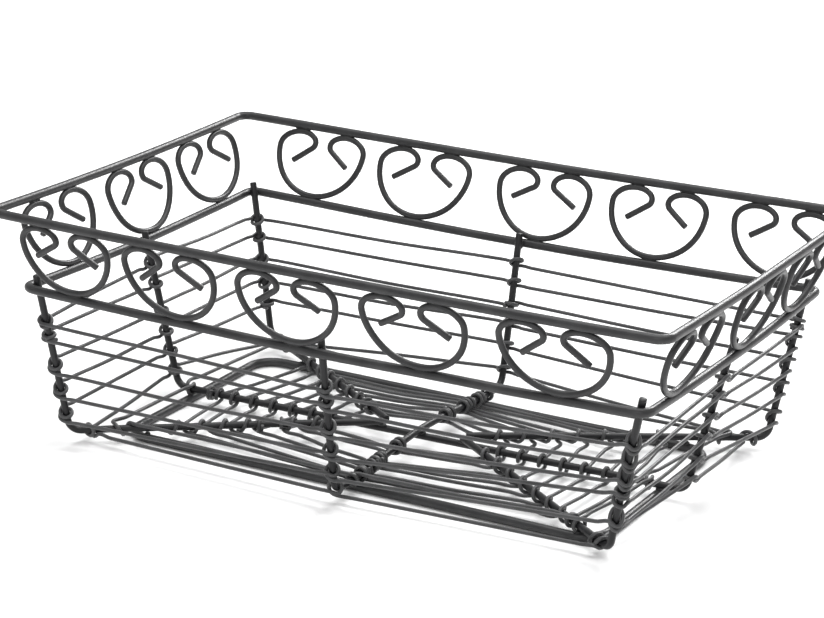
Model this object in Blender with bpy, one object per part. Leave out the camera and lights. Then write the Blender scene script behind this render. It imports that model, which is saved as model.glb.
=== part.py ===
"""Rectangular flared wire basket with a band of heart-shaped scrolls, welded and woven steel wire.

X runs along the long sides, the front long side faces -Y, Z is up.  Origin: bottom centre of the
bounding box, so the foot ring rests on z = 0.  Lengths in metres.
"""
import math

import bmesh
import bpy
from mathutils import Vector

# ---- wire gauges (diameters) and the clearance left where two wires are welded or touch ----
RIM_D = 0.0047
SCROLL_D = 0.0033
RIB_D = 0.0038
WEAVE_D = 0.0020
FOOT_D = 0.0047
WELD_GAP = 0.00015
RIB_SEAT_GAP = 0.0004
CROSS_GAP = 0.0003
WEAVE_GAP = 0.0004
RIM_SIDES = 12
SCROLL_SIDES = 8
RIB_SIDES = 8
WEAVE_SIDES = 6
SMOOTH_ANGLE = math.radians(65.0)

# ---- foot ring: its centre sits a little off the basket's ----
FOOT_HALF_X = 0.1365
FOOT_HALF_Y = 0.0694
FOOT_CENTRE_X = -0.0025
FOOT_CORNER_R = 0.014
FOOT_FLAT_R = FOOT_D / 2.0 * math.sqrt(math.pi / RIM_SIDES / math.tan(math.pi / RIM_SIDES))
FOOT_Z = FOOT_FLAT_R

# ---- ribs and floor; a key is the side or corner a rib stands at ----
FLOOR_Z = FOOT_D + CROSS_GAP + RIB_D / 2.0
CROSSING_Z = FLOOR_Z + RIB_D + CROSS_GAP
RIB_FEET = {
    (1, 1): (0.1554, 0.0942),
    (0, 1): (0.0005, 0.0910),
    (-1, 1): (-0.1513, 0.0969),
    (-1, 0): (-0.1477, -0.0048),
    (-1, -1): (-0.1583, -0.0913),
    (0, -1): (0.0006, -0.0910),
    (1, -1): (0.1467, -0.0841),
    (1, 0): (0.1480, 0.0032),
}
RIB_TOP_SHIFT = {(0, 1): 0.0011, (-1, 0): -0.0048, (0, -1): 0.0, (1, 0): 0.0032}
DIAGONAL_END_X = {1: 0.0255, -1: -0.0225}
DIAGONAL_END_Y = 0.0024
RIB_BEND_R = 0.007
RIB_STUB = 0.0035

# ---- lower rim and top rim (centre lines), both bowed down a little between the corners ----
LOW_HALF_X = 0.1725
LOW_HALF_Y = 0.109
LOW_Z = FLOOR_Z + 0.0803
LOW_CORNER_R = 0.0062
LOW_BOW_LONG = 0.0027
LOW_BOW_SHORT = 0.0022
TOP_HALF_X = 0.185
TOP_HALF_Y = 0.120
TOP_Z = LOW_Z + 0.0406
TOP_CORNER_R = 0.0065
TOP_BOW_LONG = 0.0013
TOP_BOW_SHORT = 0.0016

# ---- heart scroll, drawn in the plane of the flared band; shares are of its height ----
HEART_HALF_W = 0.0276
HEART_BELLY_SHARE = 0.742
LOBE_X = 0.0147
LOBE_INNER_X = 0.0049
LOBE_INNER_SHARE = 0.838
HOOK_R = 0.0037
HOOK_TURN = math.radians(56.0)
TAIL_LEN = 0.0136

# ---- each scroll: place along its side, width factor and sideways lean ----
SCROLLS = {
    "front": ((-0.1417, 0.92, 0.0), (-0.0795, 0.93, -0.05), (-0.0131, 0.98, 0.0),
              (0.0560, 0.99, -0.04), (0.1288, 1.02, -0.01)),
    "rear": ((-0.1317, 0.98, 0.09), (-0.0652, 1.01, 0.075), (0.0094, 0.98, 0.04),
             (0.0770, 0.98, 0.045), (0.1489, 1.01, -0.03)),
    "left": ((-0.0662, 1.03, -0.08), (0.0072, 1.02, -0.04), (0.0756, 1.04, -0.08)),
    "right": ((-0.0772, 1.07, 0.01), (0.0040, 1.0, 0.0), (0.0690, 1.0, 0.0)),
}

# ---- thin wire rounds, counter-clockwise from the rear right corner ----
ROUND_ORDER = ((1, 1), (0, 1), (-1, 1), (-1, 0), (-1, -1), (0, -1), (1, -1), (1, 0))
WALL_LEVELS = {
    (1, 1): (0.22, 0.345, 0.50, 0.66, 0.86, 1.0),
    (0, 1): (0.132, 0.275, 0.43, 0.56, 0.72, 0.89),
    (-1, 1): (0.172, 0.295, 0.453, 0.617, 0.763, 0.99),
    (-1, 0): (0.143, 0.283, 0.468, 0.615, 0.75, 0.89),
    (-1, -1): (0.243, 0.343, 0.525, 0.695, 0.868, 1.0),
    (0, -1): (0.255, 0.355, 0.54, 0.70, 0.85, 1.0),
    (1, -1): (0.23, 0.34, 0.475, 0.61, 0.775, 0.95),
    (1, 0): (0.195, 0.31, 0.465, 0.61, 0.77, 0.91),
}
LOWEST_LEVEL = 0.975
FLOOR_ROUNDS = 8
ROUND_CORNER_R = 0.006
CROSS_BAR_FRONT = (0.0735, 0.0650, 0.0612, 0.0520, 0.0482, 0.0444, 0.0285, 0.0247)
CROSS_BAR_REAR = (0.0740, 0.0650, 0.0612, 0.0530, 0.0492, 0.0454, 0.0285, 0.0247)
LONG_BAR_LEFT_FIRST = 0.1395
LONG_BAR_LEFT_SECOND = 0.1245
LONG_BAR_LEFT_PITCH = 0.0120
LONG_BAR_RIGHT_FIRST = 0.1285
LONG_BAR_RIGHT_PITCH = 0.0118
DIAGONAL_FIRST = {(1, 1): 0.16, (-1, 1): 0.15, (-1, -1): 0.17, (1, -1): 0.215}
DIAGONAL_SECOND = {(1, 1): 0.370, (-1, 1): 0.370, (-1, -1): 0.345, (1, -1): 0.304}
DIAGONAL_PITCH = {(1, 1): 0.0875, (-1, 1): 0.0820, (-1, -1): 0.0740, (1, -1): 0.0890}

COATING = (0.022, 0.022, 0.024, 1.0)
COATING_ROUGHNESS = 0.5


def clear_scene():
    for ob in list(bpy.data.objects):
        bpy.data.objects.remove(ob, do_unlink=True)


def make_material(name):
    mat = bpy.data.materials.new(name)
    mat.use_nodes = True
    shader = mat.node_tree.nodes["Principled BSDF"]
    shader.inputs["Base Color"].default_value = COATING
    shader.inputs["Roughness"].default_value = COATING_ROUGHNESS
    shader.inputs["Metallic"].default_value = 0.0
    return mat


def drop_repeats(points, closed):
    tiny = 1e-6
    out = []
    for p in points:
        if not out or (p - out[-1]).length > tiny:
            out.append(p)
    if closed and (out[0] - out[-1]).length < tiny:
        out.pop()
    return out


def section_radius(diameter, sides):
    """Corner radius of a polygon with the same area as the round wire."""
    return diameter / 2.0 * math.sqrt(2.0 * math.pi / (sides * math.sin(2.0 * math.pi / sides)))


def tube(name, points, diameter, sides, reference, closed):
    """Sweep a round wire along a polyline; the section is mitred at every vertex."""
    points = drop_repeats([Vector(p) for p in points], closed)
    reference = Vector(reference).normalized()
    count = len(points)
    radius = section_radius(diameter, sides)
    bm = bmesh.new()
    rings = []
    for i, p in enumerate(points):
        before = points[i - 1] if (closed or i > 0) else None
        after = points[(i + 1) % count] if (closed or i < count - 1) else None
        d_in = (p - before).normalized() if before is not None else None
        d_out = (after - p).normalized() if after is not None else None
        d_in = d_in if d_in is not None else d_out
        d_out = d_out if d_out is not None else d_in
        tangent = (d_in + d_out).normalized()
        cos_half = max(0.5, tangent.dot(d_in))
        lateral = tangent.cross(reference).normalized()
        upright = lateral.cross(tangent).normalized()
        bend = d_out - d_in
        bend_dir = bend.normalized() if bend.length > 1e-9 else lateral
        ring = []
        for k in range(sides):
            a = 2.0 * math.pi * (k + 0.5) / sides + math.pi / 2.0
            offset = lateral * math.cos(a) * radius + upright * math.sin(a) * radius
            offset += bend_dir * offset.dot(bend_dir) * (1.0 / cos_half - 1.0)
            ring.append(bm.verts.new(p + offset))
        rings.append(ring)
    for i in range(count if closed else count - 1):
        a_ring = rings[i]
        b_ring = rings[(i + 1) % count]
        for k in range(sides):
            k2 = (k + 1) % sides
            bm.faces.new((a_ring[k], a_ring[k2], b_ring[k2], b_ring[k]))
    if not closed:
        bm.faces.new(list(reversed(rings[0])))
        bm.faces.new(rings[-1])
    bmesh.ops.recalc_face_normals(bm, faces=bm.faces)
    bmesh.ops.triangulate(bm, faces=bm.faces)
    mesh = bpy.data.meshes.new(name)
    bm.to_mesh(mesh)
    bm.free()
    mesh.shade_smooth()
    mesh.set_sharp_from_angle(angle=SMOOTH_ANGLE)
    mesh.materials.append(make_material(name + "_coat"))
    ob = bpy.data.objects.new(name, mesh)
    bpy.context.scene.collection.objects.link(ob)
    return ob


# ------------------------------------------------------------------ curves
def mix(a, b, t):
    return a + (b - a) * t


def smooth_step(t):
    return t * t * (3.0 - 2.0 * t)


def arc(centre, radius, start, stop, steps):
    """Points on a horizontal arc (angles in radians), both ends included."""
    out = []
    for i in range(steps + 1):
        a = mix(start, stop, i / steps)
        out.append((centre[0] + radius * math.cos(a), centre[1] + radius * math.sin(a)))
    return out


def rounded_rectangle(half_x, half_y, corner_r, corner_steps, long_steps, short_steps):
    """Plan-view outline, counter-clockwise from the right end of the rear side."""
    out = []
    quarter = math.pi / 2.0
    signs = ((1, 1), (-1, 1), (-1, -1), (1, -1))
    for q, (sx, sy) in enumerate(signs):
        centre = (sx * (half_x - corner_r), sy * (half_y - corner_r))
        out += arc(centre, corner_r, q * quarter, (q + 1) * quarter, corner_steps)
        nx, ny = signs[(q + 1) % 4]
        next_centre = (nx * (half_x - corner_r), ny * (half_y - corner_r))
        start = out[-1]
        stop = arc(next_centre, corner_r, (q + 1) * quarter, (q + 2) * quarter, 1)[0]
        steps = long_steps if q % 2 == 0 else short_steps
        for i in range(1, steps):
            out.append((mix(start[0], stop[0], i / steps), mix(start[1], stop[1], i / steps)))
    return out


def fillet(a, corner, b, radius, steps):
    """Round the corner between two straight legs with an arc of the given radius."""
    da = (a - corner).normalized()
    db = (b - corner).normalized()
    half = math.acos(max(-1.0, min(1.0, da.dot(db)))) / 2.0
    reach = radius / math.tan(half)
    centre = corner + (da + db).normalized() * (radius / math.sin(half))
    start = corner + da * reach - centre
    stop = corner + db * reach - centre
    total = math.pi - 2.0 * half
    out = []
    for i in range(steps + 1):
        t = i / steps
        w0 = math.sin((1.0 - t) * total) / math.sin(total)
        w1 = math.sin(t * total) / math.sin(total)
        out.append(centre + start * w0 + stop * w1)
    return out


# ------------------------------------------------------------------ rims and scrolls
def bow(x, y, half_x, half_y, bow_long, bow_short):
    """Drop of a rim below its corners: a shallow parabola along each side."""
    on_long_side = abs(abs(y) - half_y) < abs(abs(x) - half_x)
    if on_long_side:
        return bow_long * max(0.0, 1.0 - (x / half_x) ** 2)
    return bow_short * max(0.0, 1.0 - (y / half_y) ** 2)


def low_rim_z(x, y):
    return LOW_Z - bow(x, y, LOW_HALF_X, LOW_HALF_Y, LOW_BOW_LONG, LOW_BOW_SHORT)


def top_rim_z(x, y):
    return TOP_Z - bow(x, y, TOP_HALF_X, TOP_HALF_Y, TOP_BOW_LONG, TOP_BOW_SHORT)


def build_rings():
    plan = rounded_rectangle(FOOT_HALF_X, FOOT_HALF_Y, FOOT_CORNER_R, 5, 1, 1)
    path = [(x + FOOT_CENTRE_X, y, FOOT_Z) for x, y in plan]
    tube("foot_ring", path, FOOT_D, RIM_SIDES, (0, 0, 1), True)
    plan = rounded_rectangle(LOW_HALF_X, LOW_HALF_Y, LOW_CORNER_R, 4, 8, 6)
    path = [(x, y, low_rim_z(x, y)) for x, y in plan]
    tube("lower_rim", path, RIM_D, RIM_SIDES, (0, 0, 1), True)
    plan = rounded_rectangle(TOP_HALF_X, TOP_HALF_Y, TOP_CORNER_R, 5, 8, 6)
    path = [(x, y, top_rim_z(x, y)) for x, y in plan]
    tube("top_rim", path, RIM_D, RIM_SIDES, (0, 0, 1), True)


def heart_half(height, width):
    """Right half of a heart scroll: bottom centre, belly, lobe, hook and straight tail."""
    half_w = HEART_HALF_W * width
    lobe_x = LOBE_X * width
    inner_x = LOBE_INNER_X * width
    belly = HEART_BELLY_SHARE * height
    inner_v = LOBE_INNER_SHARE * height
    quarter = math.pi / 2.0
    out = []
    for i in range(8):
        a = quarter * (i / 7 - 1.0)
        out.append((half_w * math.cos(a), belly + belly * math.sin(a)))
    for i in range(1, 4):
        a = quarter * i / 3
        out.append((mix(lobe_x, half_w, math.cos(a)), mix(belly, height, math.sin(a))))
    for i in range(1, 4):
        a = quarter * (1.0 + i / 3)
        out.append((lobe_x + (lobe_x - inner_x) * math.cos(a), mix(inner_v, height, math.sin(a))))
    for i in range(1, 3):
        a = math.pi + HOOK_TURN * i / 2
        out.append((inner_x + HOOK_R + HOOK_R * math.cos(a), inner_v + HOOK_R * math.sin(a)))
    heading = HOOK_TURN - quarter
    end = out[-1]
    out.append((end[0] + TAIL_LEN * math.cos(heading), end[1] + TAIL_LEN * math.sin(heading)))
    return out


def scroll(side, index, along, width, lean):
    """One heart scroll standing in the flared band, its bottom on the lower rim."""
    sign = 1.0 if side in ("rear", "right") else -1.0
    if side in ("front", "rear"):
        low = Vector((along, sign * LOW_HALF_Y, low_rim_z(along, LOW_HALF_Y)))
        top = Vector((along, sign * TOP_HALF_Y, top_rim_z(along, TOP_HALF_Y)))
        run = Vector((1, 0, 0))
    else:
        low = Vector((sign * LOW_HALF_X, along, low_rim_z(LOW_HALF_X, along)))
        top = Vector((sign * TOP_HALF_X, along, top_rim_z(TOP_HALF_X, along)))
        run = Vector((0, 1, 0))
    rise = (top - low).normalized()
    seat = section_radius(RIM_D, RIM_SIDES) + section_radius(SCROLL_D, SCROLL_SIDES) + WELD_GAP
    height = (top - low).length - 2.0 * seat
    half = heart_half(height, width)
    outline = [(-u, v) for u, v in reversed(half[1:])] + half
    path = [low + rise * (seat + v) + run * (u + (v - height / 2.0) * lean) for u, v in outline]
    tube("scroll_%s_%d" % (side, index), path, SCROLL_D, SCROLL_SIDES, run.cross(rise), False)


# ------------------------------------------------------------------ ribs
def rib_top(key):
    """Centre of a rib where it is welded inside the lower rim."""
    sx, sy = key
    inset = (RIM_D + RIB_D) / 2.0 + RIB_SEAT_GAP
    if sx and sy:
        reach = (LOW_CORNER_R - inset) / math.sqrt(2.0)
        x = LOW_HALF_X - LOW_CORNER_R + reach
        y = LOW_HALF_Y - LOW_CORNER_R + reach
        return Vector((sx * x, sy * y, LOW_Z))
    if sx:
        return Vector((sx * (LOW_HALF_X - inset), RIB_TOP_SHIFT[key], low_rim_z(LOW_HALF_X, 0.0)))
    return Vector((RIB_TOP_SHIFT[key], sy * (LOW_HALF_Y - inset), low_rim_z(0.0, LOW_HALF_Y)))


def rib_foot(key):
    """Corner point where a rib turns into the floor."""
    x, y = RIB_FEET[key]
    return Vector((x, y, FLOOR_Z))


def floor_end(key):
    """Where the floor leg of a rib leads: a diagonal's end, or the foot on the opposite side."""
    sx, sy = key
    if sx and sy:
        return Vector((DIAGONAL_END_X[sx], sy * DIAGONAL_END_Y, CROSSING_Z))
    return rib_foot((-sx, -sy))


def wall_leg(key):
    """Stub above the rim, wall leg and bend of a rib, down to the start of its floor leg."""
    at_rim = rib_top(key)
    foot = rib_foot(key)
    top = at_rim + (at_rim - foot).normalized() * (RIM_D / 2.0 + RIB_STUB)
    return [top] + fillet(top, foot, floor_end(key), RIB_BEND_R, 4)


def arched_half(key):
    """Half of the cross rib, rising at the middle to pass over the long rib."""
    leg = wall_leg(key)
    middle = (rib_foot(key) + floor_end(key)) / 2.0
    middle.z = CROSSING_Z
    out = list(leg)
    steps = 5
    for i in range(1, steps):
        p = leg[-1].lerp(middle, i / steps)
        p.z = mix(FLOOR_Z, CROSSING_Z, smooth_step(i / steps))
        out.append(p)
    return out, middle


def build_ribs():
    path = wall_leg((1, 0)) + list(reversed(wall_leg((-1, 0))))
    tube("rib_long", path, RIB_D, RIB_SIDES, (0, 1, 0), False)
    rear, middle = arched_half((0, 1))
    front, _ = arched_half((0, -1))
    path = rear + [middle] + list(reversed(front))
    tube("rib_cross", path, RIB_D, RIB_SIDES, (1, 0, 0), False)
    corners = {"front_left": (-1, -1), "front_right": (1, -1), "rear_left": (-1, 1), "rear_right": (1, 1)}
    for where, key in corners.items():
        end = floor_end(key)
        reference = (end - rib_foot(key)).cross(Vector((0, 0, 1)))
        tube("rib_corner_" + where, wall_leg(key) + [end], RIB_D, RIB_SIDES, reference, False)


# ------------------------------------------------------------------ thin wire
def wall_station(key, level):
    """Point and direction of a rib's centre line at a level, as a share of the way down."""
    path = wall_leg(key)
    z = mix(rib_top(key).z, FLOOR_Z, min(level, LOWEST_LEVEL))
    for a, b in zip(path, path[1:]):
        if a.z >= z > b.z:
            return a.lerp(b, (a.z - z) / (a.z - b.z)), (b - a).normalized()
    return path[-1], (path[-1] - path[-2]).normalized()


def wall_round(index):
    """Thin wire once round the outside of all eight ribs."""
    keep = (RIB_D + WEAVE_D) / 2.0 + WEAVE_GAP
    path = []
    for key in ROUND_ORDER:
        centre, axis = wall_station(key, WALL_LEVELS[key][index])
        facing = math.atan2(key[1], key[0])
        sweep = math.pi / 4.0 if key[0] and key[1] else 0.0
        steps = 4 if sweep else 1
        for i in range(steps + 1):
            a = facing + sweep * (2.0 * i / steps - 1.0)
            out = Vector((math.cos(a), math.sin(a), 0.0))
            out = (out - axis * out.dot(axis)).normalized()
            path.append(centre + out * keep)
    return tube("wall_wire_%d" % (index + 1), path, WEAVE_D, WEAVE_SIDES, (0, 0, 1), True)


def floor_station(key, index):
    """Where a floor round crosses the centre line of one floor leg."""
    if key[0] and key[1]:
        share = DIAGONAL_FIRST[key]
        if index > 0:
            share = DIAGONAL_SECOND[key] + DIAGONAL_PITCH[key] * (index - 1)
        return rib_foot(key).lerp(floor_end(key), share)
    foot = rib_foot(key)
    opposite = floor_end(key)
    if key == (-1, 0):
        place = LONG_BAR_LEFT_FIRST
        if index > 0:
            place = LONG_BAR_LEFT_SECOND - LONG_BAR_LEFT_PITCH * (index - 1)
        share = (-place - foot.x) / (opposite.x - foot.x)
        return foot.lerp(opposite, share)
    if key == (1, 0):
        place = LONG_BAR_RIGHT_FIRST - LONG_BAR_RIGHT_PITCH * index
        share = (place - foot.x) / (opposite.x - foot.x)
        return foot.lerp(opposite, share)
    place = CROSS_BAR_REAR[index] if key[1] > 0 else -CROSS_BAR_FRONT[index]
    bend_end = wall_leg(key)[-1]
    p = foot.lerp(opposite, (place - foot.y) / (opposite.y - foot.y))
    p.z = mix(CROSSING_Z, FLOOR_Z, 1.0 - smooth_step(1.0 - abs(place / bend_end.y)))
    return p


def floor_round(index):
    """Rectangle of thin wire along the floor bars: the outermost lies on them, the others under them."""
    side = 1.0 if index == 0 else -1.0
    hop = Vector((0.0, 0.0, side * ((RIB_D + WEAVE_D) / 2.0 + WEAVE_GAP)))
    stations = [floor_station(key, index) + hop for key in ROUND_ORDER]
    count = len(stations)
    path = []
    for i, key in enumerate(ROUND_ORDER):
        here = stations[i]
        before = stations[i - 1]
        after = stations[(i + 1) % count]
        if key[0] and key[1]:
            out = Vector((key[0], key[1], 0.0)).normalized()
            corner = here + out * (ROUND_CORNER_R * (math.sqrt(2.0) - 1.0))
            bend = fillet(before, corner, after, ROUND_CORNER_R, 4)
            path += [Vector((p.x, p.y, here.z)) for p in bend]
        else:
            along = Vector((-key[1], key[0], 0.0))
            path += [here - along * (RIB_D / 2.0), here + along * (RIB_D / 2.0)]
    return tube("floor_wire_%d" % (index + 1), path, WEAVE_D, WEAVE_SIDES, (0, 0, 1), True)


def build():
    clear_scene()
    build_rings()
    for side, places in SCROLLS.items():
        for i, (along, width, lean) in enumerate(places):
            scroll(side, i + 1, along, width, lean)
    build_ribs()
    for i in range(len(WALL_LEVELS[(1, 1)])):
        wall_round(i)
    for i in range(FLOOR_ROUNDS):
        floor_round(i)


build()
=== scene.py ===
"""Looks of a flared wire basket: coated steel rims, heart scrolls, ribs and hand-wound thin wire.

Everything is in metres in the CAD model's frame: X runs along the long sides, the front long side
faces -Y, Z is up and the foot ring stands on z = 0.
"""
import math
import random

import bmesh
import bpy
from mathutils import Matrix, Vector, noise


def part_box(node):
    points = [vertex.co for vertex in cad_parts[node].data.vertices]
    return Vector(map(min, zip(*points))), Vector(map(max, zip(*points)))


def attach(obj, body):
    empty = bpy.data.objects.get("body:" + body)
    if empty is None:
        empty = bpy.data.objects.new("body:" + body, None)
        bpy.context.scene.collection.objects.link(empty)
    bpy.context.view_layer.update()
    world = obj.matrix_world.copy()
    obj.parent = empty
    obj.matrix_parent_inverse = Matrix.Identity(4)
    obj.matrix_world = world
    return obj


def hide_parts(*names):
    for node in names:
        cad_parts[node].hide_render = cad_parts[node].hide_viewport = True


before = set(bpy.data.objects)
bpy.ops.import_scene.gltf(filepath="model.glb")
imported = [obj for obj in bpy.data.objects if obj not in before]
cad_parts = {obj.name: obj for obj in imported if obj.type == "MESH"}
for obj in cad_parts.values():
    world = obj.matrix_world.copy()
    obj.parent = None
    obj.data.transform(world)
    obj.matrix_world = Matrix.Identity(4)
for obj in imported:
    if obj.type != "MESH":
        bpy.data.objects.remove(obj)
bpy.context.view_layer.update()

# ---- wire gauges (diameters) ----
RIM_D = 0.0047
SCROLL_D = 0.0033
RIB_D = 0.0038
WEAVE_D = 0.0020
FOOT_D = 0.0047
CROSS_GAP = 0.0003
WRAP_GAP = 0.0001

# ---- rims and foot ring: sizes from the frame, bends and sag as in the CAD model ----
LOW_CORNER_R = 0.0062
TOP_CORNER_R = 0.0065
FOOT_CORNER_R = 0.014
LOW_BOW_LONG = 0.0027
LOW_BOW_SHORT = 0.0022
TOP_BOW_LONG = 0.0013
TOP_BOW_SHORT = 0.0016

# ---- ribs and floor; a key is the side or corner a rib stands at ----
RIB_SEAT_GAP = 0.0004
RIB_STUB = 0.0035
RIB_BEND_R = 0.007
RIB_FEET = {
    (1, 1): (0.1554, 0.0942),
    (0, 1): (0.0005, 0.0910),
    (-1, 1): (-0.1513, 0.0969),
    (-1, 0): (-0.1477, -0.0048),
    (-1, -1): (-0.1583, -0.0913),
    (0, -1): (0.0006, -0.0910),
    (1, -1): (0.1467, -0.0841),
    (1, 0): (0.1480, 0.0032),
}
RIB_TOP_SHIFT = {(0, 1): 0.0011, (-1, 0): -0.0048, (0, -1): 0.0, (1, 0): 0.0032}
DIAGONAL_END_X = {1: 0.0255, -1: -0.0225}
DIAGONAL_END_Y = 0.0024
BAR_MIDDLE = Vector((0.0005, -0.0008, 0.0))

# ---- heart scrolls; shares are of the heart's height ----
HEART_HALF_W = 0.0276
HEART_BELLY_SHARE = 0.742
HEART_INNER_SHARE = 0.838
LOBE_X = 0.0147
LOBE_INNER_X = 0.0049
HOOK_R = 0.0037
HOOK_TURN = math.radians(56.0)
TAIL_LEN = 0.0136
WELD_BITE = 0.0004
BELLY_STEPS = 24
LOBE_STEPS = 12
HOOK_STEPS = 8
TAIL_STEPS = 5

# ---- each scroll: place along its side, width factor and sideways lean ----
SCROLLS = {
    "front": ((-0.1417, 0.92, 0.0), (-0.0795, 0.93, -0.05), (-0.0131, 0.98, 0.0),
              (0.0560, 0.99, -0.04), (0.1288, 1.02, -0.01)),
    "rear": ((-0.1317, 0.98, 0.09), (-0.0652, 1.01, 0.075), (0.0094, 0.98, 0.04),
             (0.0770, 0.98, 0.045), (0.1489, 1.01, -0.03)),
    "left": ((-0.0662, 1.03, -0.08), (0.0072, 1.02, -0.04), (0.0756, 1.04, -0.08)),
    "right": ((-0.0772, 1.07, 0.01), (0.0040, 1.0, 0.0), (0.0690, 1.0, 0.0)),
}

# ---- thin wire: rounds run counter-clockwise from the rear right corner ----
ROUND_ORDER = ((1, 1), (0, 1), (-1, 1), (-1, 0), (-1, -1), (0, -1), (1, -1), (1, 0))
CORNER_KEYS = ROUND_ORDER[::2]

# ---- height of each wall round at each rib: 0 at the lower rim, 1 at the floor ----
LOWEST_LEVEL = 0.975
UNDER_LEVEL = 0.9
WALL_LEVELS = {
    (1, 1): (0.212, 0.337, 0.492, 0.652, 0.852, 1.022),
    (0, 1): (0.120, 0.262, 0.418, 0.548, 0.708, 0.878),
    (-1, 1): (0.190, 0.313, 0.471, 0.635, 0.781, 0.99),
    (-1, 0): (0.143, 0.283, 0.468, 0.615, 0.75, 0.89),
    (-1, -1): (0.235, 0.335, 0.540, 0.710, 0.880, 1.01),
    (0, -1): (0.255, 0.355, 0.54, 0.70, 0.85, 1.0),
    (1, -1): (0.23, 0.34, 0.475, 0.61, 0.775, 0.95),
    (1, 0): (0.195, 0.31, 0.465, 0.61, 0.77, 0.91),
}

# ---- wall wraps, per rib in round order: step down the rib, tilt, bulge and where it bulges ----
WRAP_PITCH = (-0.0065, -0.0022, -0.0022, 0.0032, 0.0022, 0.0022, 0.0026, 0.0024)
WRAP_TILT = (0.0024, 0.0020, 0.0018, 0.0020, 0.0022, 0.0026, 0.0042, 0.0022)
WRAP_BULGE = (0.0006, 0.0005, 0.0004, 0.0006, 0.0007, 0.0007, 0.0, 0.0004)
BULGE_ANGLE = (-15.0, -55.0, 70.0, 28.0, -15.0, -58.0, -100.0, 28.0)
LATE_FROM = math.pi * 0.6
SIDE_TURN = 0.06
CLOSING_RIB = (0, 4, 1, 6, 2, 6)
# the top rounds climb at the front left corner; the last one passes under the floor diagonals
RISING_KEY = (-1, -1)
RISING_ROUNDS = 2
SKIRT_SHARE = 0.065

# ---- thin wire: floor rounds, the outermost first ----
FLOOR_ROUNDS = 8
CROSS_BAR_FRONT = (0.0735, 0.0650, 0.0612, 0.0520, 0.0482, 0.0444, 0.0285, 0.0247)
CROSS_BAR_REAR = (0.0740, 0.0650, 0.0612, 0.0530, 0.0492, 0.0454, 0.0285, 0.0247)
LONG_BAR_LEFT = (0.1400, 0.1245, 0.0120)
LONG_BAR_RIGHT = (0.1285, 0.0118)
DIAGONAL_FIRST = {(1, 1): 0.16, (-1, 1): 0.15, (-1, -1): 0.17, (1, -1): 0.215}
DIAGONAL_SECOND = {(1, 1): 0.370, (-1, 1): 0.370, (-1, -1): 0.345, (1, -1): 0.304}
DIAGONAL_STEP = {(1, 1): 0.0875, (-1, 1): 0.0820, (-1, -1): 0.0740, (1, -1): 0.0890}

# ---- floor wraps: pitch per diagonal, the pitch elsewhere, and the spread of each draw ----
DIAGONAL_PITCH = {(1, 1): 0.0085, (-1, 1): -0.0085, (-1, -1): 0.0090, (1, -1): -0.0095}
DIAGONAL_SPREAD = (0.85, 1.1)
FLOOR_PITCH = 0.0019
FLOOR_PITCH_SPREAD = 0.0003
LONG_BAR_PITCH = 0.0012
FLOOR_TILT = (0.0003, 0.0008)
FLOOR_BULGE = (0.0002, 0.0008)
FLOOR_BULGE_ANGLE = (-10.0, 40.0)

# ---- cut ends of a round, wound beside each other on its closing rib ----
CUT_SHIFT = 0.0011
CUT_PITCH = 0.0017
CUT_TILT_SHARE = 0.3
CUT_BULGE = 0.0003
FIRST_CUT_ANGLE = (60.0, 110.0)
LAST_CUT_ANGLE = (60.0, 130.0)
FIRST_STUB = (0.0012, 0.0026)
LAST_STUB = (0.0015, 0.0030)
BULGE_SPREAD = (0.55, 1.15)
TILT_SPREAD = (0.75, 1.15)

# ---- free stretch between two wraps: how it bends into them, and how far it sags ----
WALL_EASE = 0.009
FLOOR_EASE = 0.012
EASE_LIMIT = 0.4
EASE_STEPS = 7
WRAP_PULL = 0.42
SPAN_PULL = 0.38
SPAN_STEP = 0.010
SAG_LIMIT = 0.0007
SAG_SHARE = 0.008
SAG_LIFT = (-1.4, 0.6)

# ---- weld beads: length (fixed or drawn), width and height ----
BEAD_SIDES = 14
BEAD_STATIONS = 11
BEAD_TAPER = 0.42
BEAD_UNEVEN = 0.16
BEAD_GRAIN = 900.0
BEAD_SEED_STEP = 3.7
SCROLL_BEAD = ((0.0085, 0.0105), (0.0022, 0.0028), (0.0013, 0.0017))
RIB_BEAD = ((0.0040, 0.0052), 0.0017, 0.0019)
RIB_BEAD_SIDE = 0.0011
RIB_BEAD_DROP = 0.0004
FOOT_BEAD = ((0.0045, 0.0060), 0.0032, 0.0016)
DIAGONAL_BEAD = (0.006, 0.0030, 0.0018)
CROSSING_BEAD = (0.0046, 0.0040, 0.0018)

# ---- meshes: faces round each wire, spacing along it, rounding of its ends and its coating ----
RIM_SIDES = 28
RIB_SIDES = 24
SCROLL_SIDES = 22
WEAVE_SIDES = 12
CORNER_STEPS = 14
BEND_STEPS = 10
LEG_STEPS = 16
WRAP_STEP = math.radians(12.0)
HALVINGS = 30
PATH_STEP = 0.006
REPEAT_LIMIT = 2e-5
END_ROLL = 0.30
END_ANGLES = (math.radians(35.0), math.radians(70.0))
LUMPS = 0.012
LUMP_SCALE = 420.0
SHARP_ANGLE = math.radians(50.0)

# ---- hand bending: how far a path wavers, and over what length ----
RIM_WAVER = (0.00035, 0.07)
RIB_WAVER = (0.0003, 0.05)
SCROLL_WAVER = (0.0003, 0.02)
TAIL_SPREAD = (-0.0008, 0.0008)
HOOK_SPREAD = (-4.0, 4.0)

# ---- coating: noise scales, depths of the surface bumps, and the two tints over the coat ----
BLOTCH_SCALE = 70.0
DUST_SCALE = 1500.0
PATCH_SCALE = 240.0
GLOSS_SCALE = 320.0
PEEL_SCALE = 1900.0
RIPPLE_SCALE = 420.0
PEEL_DEPTH = 0.00008
RIPPLE_DEPTH = 0.00030
DUST_SHARE = 0.35
DUST_PALER = 2.6
WORN_COLOUR = (0.16, 0.155, 0.15, 1.0)
COAT_SPECULAR = 0.34

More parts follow.
